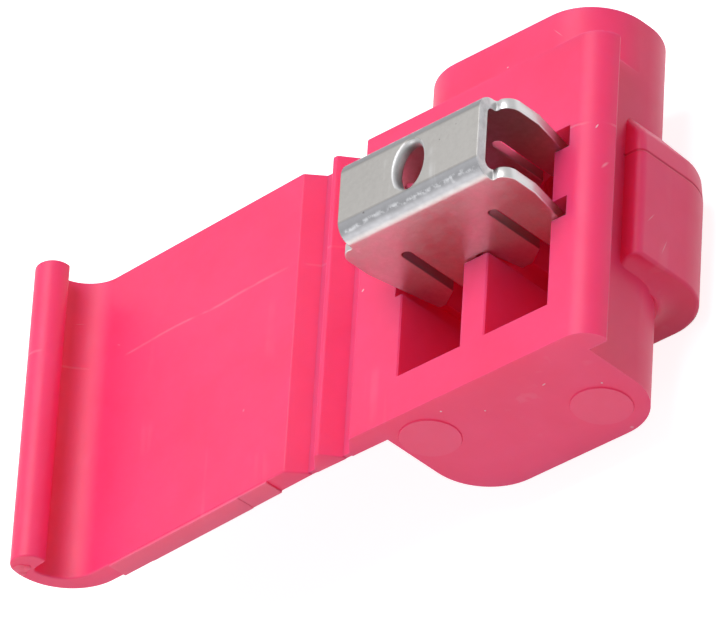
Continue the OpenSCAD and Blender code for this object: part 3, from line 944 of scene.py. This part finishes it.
class CONNECTOR_OT_contact(bpy.types.Operator):
    """Folds the metal contact from one sheet, with its slots, shoulders and oval hole"""
    bl_idname = "connector.contact"
    bl_label = "Contact"

    def execute(self, context):
        sizes = context.scene.connector_contact
        sheet, bend, slot = sizes.sheet / MM, sizes.bend / MM, sizes.slot / MM
        # Half the leg's outline from the bridge: shoulder, tapered foot, wire slot and inner tongue
        half, reach, tip = 3.92, 4.70, -6.46
        shoulder, slot_x, slot_top = 0.7, 2.425, -2.55
        mouth, lead_in = 1.15, 0.56
        side = (
            [(half, -bend), (half, -0.92), (half + 0.04, -0.985), (half + 0.11, -1.0)]
            + arc(reach - shoulder, -1.65, shoulder, 74, 0, 12)
            + [(reach, -2.8), (3.975, tip + 0.1), (3.87, tip), (slot_x + mouth, tip),
               (slot_x + slot / 2, tip + lead_in)]
            + arc(slot_x, slot_top - slot / 2, slot / 2, 0, 180, 12)
            + [(slot_x - slot / 2, tip + lead_in), (slot_x - mouth, tip), (0.70, tip), (0.24, tip + 1.80),
               (0.16, tip + 1.86)])
        outline = side + [(-x, z) for x, z in reversed(side)]
        near = CONTACT_Y - CONTACT_LEN / 2
        contact = trace("contact_clip", outline,
                        lambda p: (CONTACT_X + p[0], near, CONTACT_Z + p[1]))

        # First bend from the leg's upper edge, the bridge, the second bend, then a copy of the leg
        pick(contact, "edges", lambda edge: edge.calc_length() > half
             and all(abs(v.co.z - CONTACT_Z + bend) < 0.001 for v in edge.verts))
        for a, b in quarter(BEND_STEPS):
            push(y=bend * (math.cos(a) - math.cos(b)), z=bend * (math.sin(b) - math.sin(a)))
        push(y=CONTACT_LEN - 2 * bend)
        for a, b in quarter(BEND_STEPS):
            push(y=bend * (math.sin(b) - math.sin(a)), z=-bend * (math.cos(a) - math.cos(b)))
        pick(contact, "faces", lambda face: len(face.verts) > 8)
        bpy.ops.mesh.duplicate_move(TRANSFORM_OT_translate={"value": (0.0, CONTACT_LEN, 0.0)})
        bpy.ops.mesh.select_all(action="SELECT")
        bpy.ops.mesh.remove_doubles(threshold=0.002)
        face_out()
        take(contact)
        thick = contact.modifiers.new("thickness", "SOLIDIFY")
        thick.thickness = sheet
        thick.offset = -1.0
        thick.use_even_offset = True
        bpy.ops.object.modifier_apply(modifier=thick.name)
        edit(contact)
        face_out()
        deselect()
        bpy.ops.mesh.primitive_cylinder_add(vertices=56, radius=HOLE_R, depth=HOLE_DEPTH,
                                            location=(CONTACT_X, CONTACT_Y, CONTACT_Z - HOLE_DEPTH))
        hole = bpy.context.active_object
        bpy.ops.object.mode_set(mode="EDIT")
        pick(hole, "faces", faces_up)
        # The punch drew the hole's upper edge in, so the cutter flares round a quarter circle
        middle = (CONTACT_X, CONTACT_Y, CONTACT_Z)
        for a, b in quarter(FLARE_STEPS):
            wider = (HOLE_R + HOLE_FLARE * (1 - math.cos(b))) / (HOLE_R + HOLE_FLARE * (1 - math.cos(a)))
            push(z=HOLE_DEPTH / 2 * (math.sin(b) - math.sin(a)))
            bpy.ops.transform.resize(value=(wider, wider, 1.0), center_override=middle)
        push(z=ABOVE)
        bpy.ops.mesh.select_all(action="SELECT")
        bpy.ops.transform.resize(value=(1.0, HOLE_STRETCH, 1.0), center_override=middle)
        bpy.ops.mesh.normals_make_consistent(inside=False)
        bpy.ops.object.mode_set(mode="OBJECT")
        combine(contact, hole, "DIFFERENCE")
        clean(contact)
        round_edges(contact, CONTACT_EDGE, 2, above=50.0)
        mark_sheet(contact, bend)
        finish_piece(contact, "contact", metal_material(context.scene.connector_finish),
                     smooth=40.0)
        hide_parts("contact")
        return {"FINISHED"}


class CONNECTOR_OT_stage(bpy.types.Operator):
    """Sets up the floor, the lamps, the world and the camera"""
    bl_idname = "connector.stage"
    bl_label = "Stage"

    def execute(self, context):
        scene = context.scene
        finish = scene.connector_finish
        deselect()
        bpy.ops.mesh.primitive_plane_add(size=FLOOR_SIZE, location=(0.0, 0.0, -FLOOR_DROP))
        floor = context.active_object
        floor.name = "floor"
        material = bpy.data.materials.new("pale_floor")
        material.use_nodes = True
        tree = material.node_tree
        shader = tree.nodes["Principled BSDF"]
        set_values(shader, {"Base Color": rgba(finish.floor), "Roughness": 0.9, "Specular IOR Level": 0.0})
        white = tree.nodes.new("ShaderNodeEmission")
        white.inputs["Strength"].default_value = FLOOR_GLOW
        both = tree.nodes.new("ShaderNodeAddShader")
        choice = tree.nodes.new("ShaderNodeMixShader")
        tree.links.new(shader.outputs[0], both.inputs[0])
        tree.links.new(white.outputs[0], both.inputs[1])
        tree.links.new(seen_rays(tree), choice.inputs[0])
        tree.links.new(shader.outputs[0], choice.inputs[1])
        tree.links.new(both.outputs[0], choice.inputs[2])
        tree.links.new(choice.outputs[0], tree.nodes["Material Output"].inputs["Surface"])
        floor.data.materials.append(material)

        world = bpy.data.worlds.new("studio")
        world.use_nodes = True
        scene.world = world
        air = world.node_tree
        glow = air.nodes["Background"]
        glow.inputs["Color"].default_value = (1.0, 1.0, 1.0, 1.0)
        strength = add_math(air, "MULTIPLY_ADD", seen_rays(air), 1.0 - WORLD_LIGHT, WORLD_LIGHT)
        air.links.new(strength, glow.inputs["Strength"])

        for name, place, size, power in LAMPS:
            deselect()
            way = -Vector(place)
            bpy.ops.object.light_add(type="AREA", location=place,
                                     rotation=way.to_track_quat("-Z", "Y").to_euler())
            lamp = context.active_object
            lamp.name = name
            lamp.data.shape = "DISK"
            lamp.data.size = size
            lamp.data.energy = power

        deselect()
        bpy.ops.object.camera_add()
        camera = context.active_object
        camera.name = "photo_camera"
        right = Vector(CAMERA_RIGHT).normalized()
        up = Vector(CAMERA_UP)
        up = (up - right * up.dot(right)).normalized()
        back = right.cross(up)
        turn = Matrix((right, up, back)).transposed().to_4x4()
        camera.matrix_world = Matrix.Translation(CAMERA_PLACE) @ turn
        camera.data.sensor_width = 36.0
        camera.data.lens = CAMERA_LENS
        camera.data.clip_start = 0.01
        camera.data.clip_end = 10.0
        scene.camera = camera
        scene.view_settings.view_transform = "Standard"
        return {"FINISHED"}


class CONNECTOR_PT_panel(bpy.types.Panel):
    """Lists the connector's pieces and their sizes"""
    bl_label = "Splice connector"
    bl_idname = "CONNECTOR_PT_panel"
    bl_space_type = "VIEW_3D"
    bl_region_type = "UI"
    bl_category = "Connector"

    def draw(self, context):
        layout = self.layout
        for group in (context.scene.connector_housing, context.scene.connector_lid,
                      context.scene.connector_contact, context.scene.connector_finish):
            column = layout.column(align=True)
            for key in group.bl_rna.properties.keys():
                if key not in ("rna_type", "name"):
                    column.prop(group, key)
        for piece in PIECES:
            layout.operator(piece.bl_idname)


PIECES = (CONNECTOR_OT_housing, CONNECTOR_OT_hinges, CONNECTOR_OT_lid, CONNECTOR_OT_contact,
          CONNECTOR_OT_stage)
GROUPS = {"connector_housing": HousingSizes, "connector_lid": LidSizes,
          "connector_contact": ContactSizes, "connector_finish": Finishes}


def register():
    """Adds the add-on's settings and classes."""
    for name, group in GROUPS.items():
        bpy.utils.register_class(group)
        setattr(bpy.types.Scene, name, bpy.props.PointerProperty(type=group))
    for piece in PIECES:
        bpy.utils.register_class(piece)
    bpy.utils.register_class(CONNECTOR_PT_panel)


def unregister():
    """Takes the add-on's classes and settings out again."""
    bpy.utils.unregister_class(CONNECTOR_PT_panel)
    for piece in reversed(PIECES):
        bpy.utils.unregister_class(piece)
    for name, group in GROUPS.items():
        delattr(bpy.types.Scene, name)
        bpy.utils.unregister_class(group)


def main():
    """Builds every piece and the stage."""
    register()
    for build in (bpy.ops.connector.housing, bpy.ops.connector.hinges, bpy.ops.connector.lid,
                  bpy.ops.connector.contact, bpy.ops.connector.stage):
        build()


if __name__ == "__main__":
    main()
